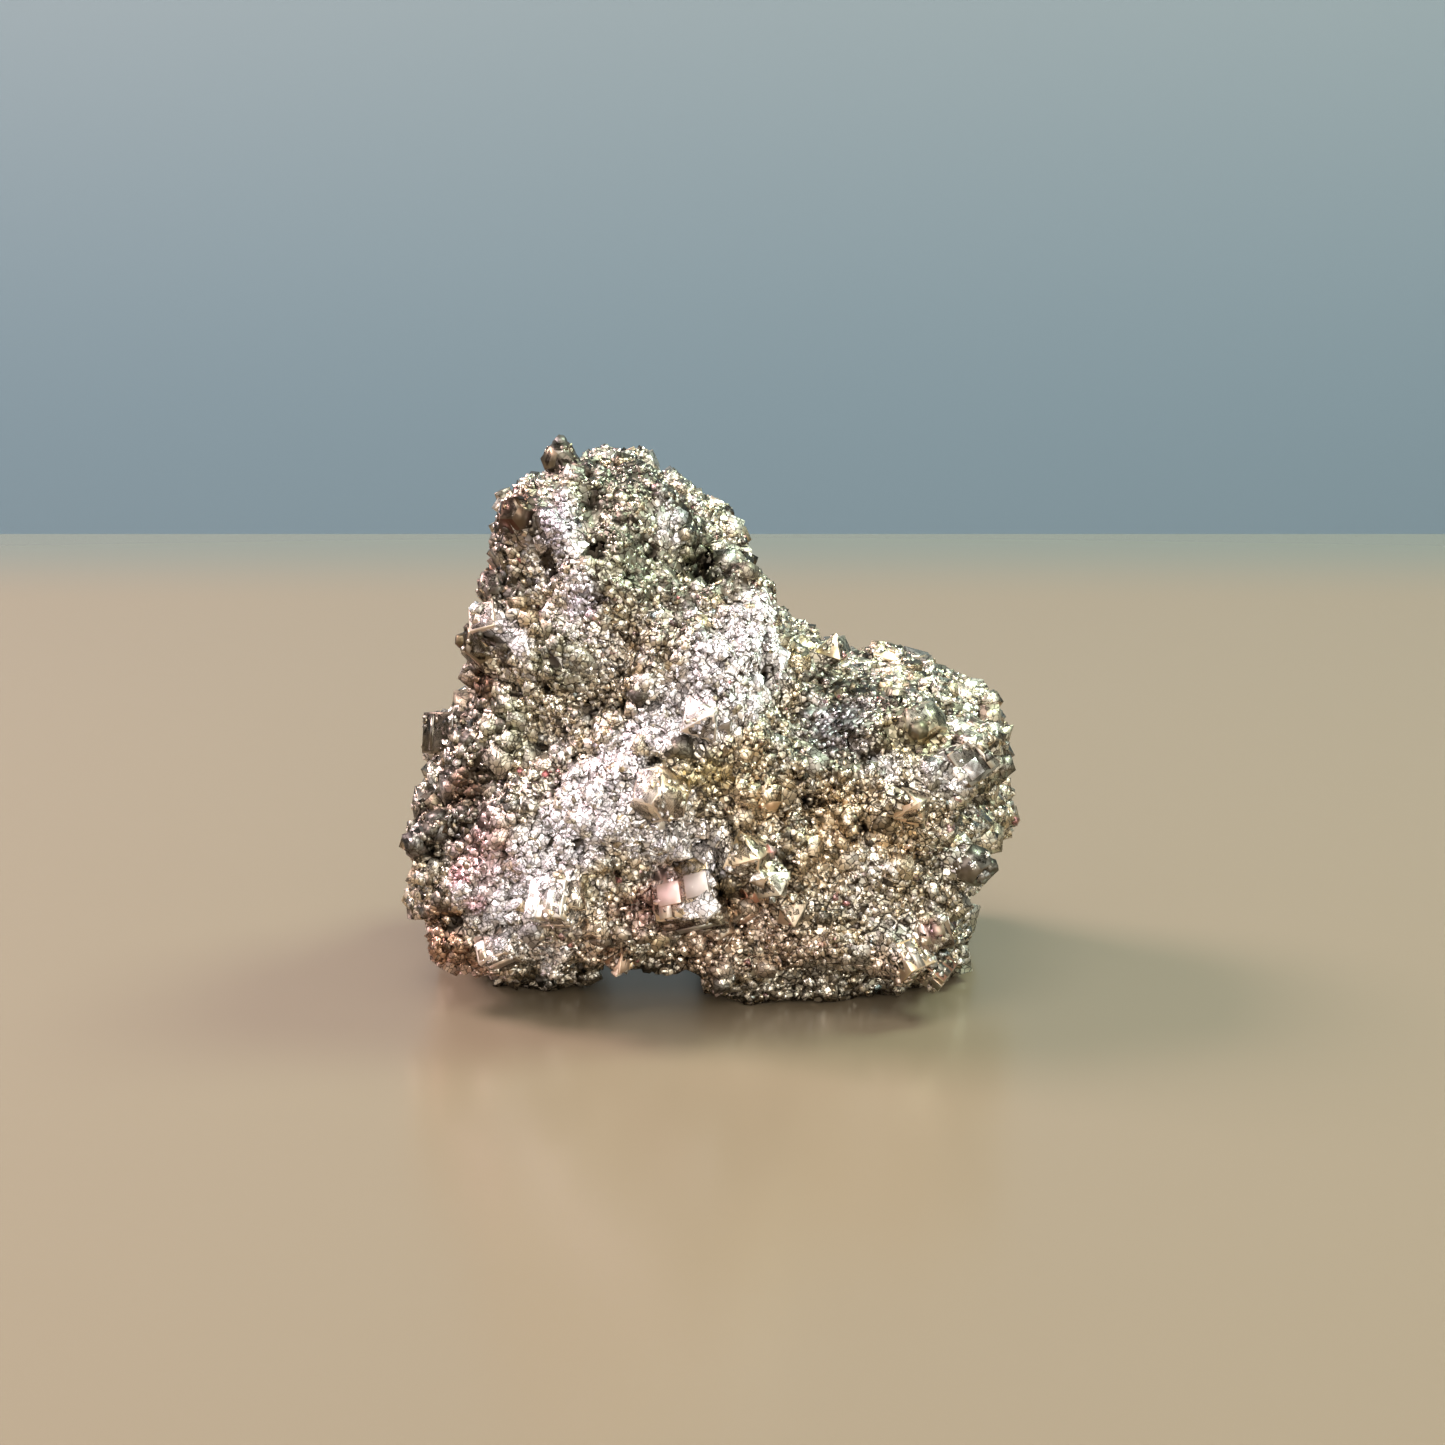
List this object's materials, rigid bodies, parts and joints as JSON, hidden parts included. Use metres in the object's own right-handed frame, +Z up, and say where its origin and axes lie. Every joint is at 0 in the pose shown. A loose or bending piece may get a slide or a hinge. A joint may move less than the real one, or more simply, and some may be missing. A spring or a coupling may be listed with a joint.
{
  "type": "pyrite cluster",
  "caption": "Knobbly metallic mineral cluster with a tall peak at one end and a low shoulder at the other, larger crystals over a fine-grained mass, standing on a flat base with a shallow arch.",
  "frame": {"origin": "on the surface the cluster stands on, under the middle of its bounding box", "axes": "+Z up, +X along the width from the peak's end to the shoulder's end, -Y the front"},
  "size_m": [0.0578, 0.0396, 0.0509],
  "materials": {
    "pyrite": "metallic, pale silver brass, rough-grained with bright facets"
  },
  "bodies": {
    "root": {"pyrite_cluster": "pyrite"}
  },
  "joints": []
}
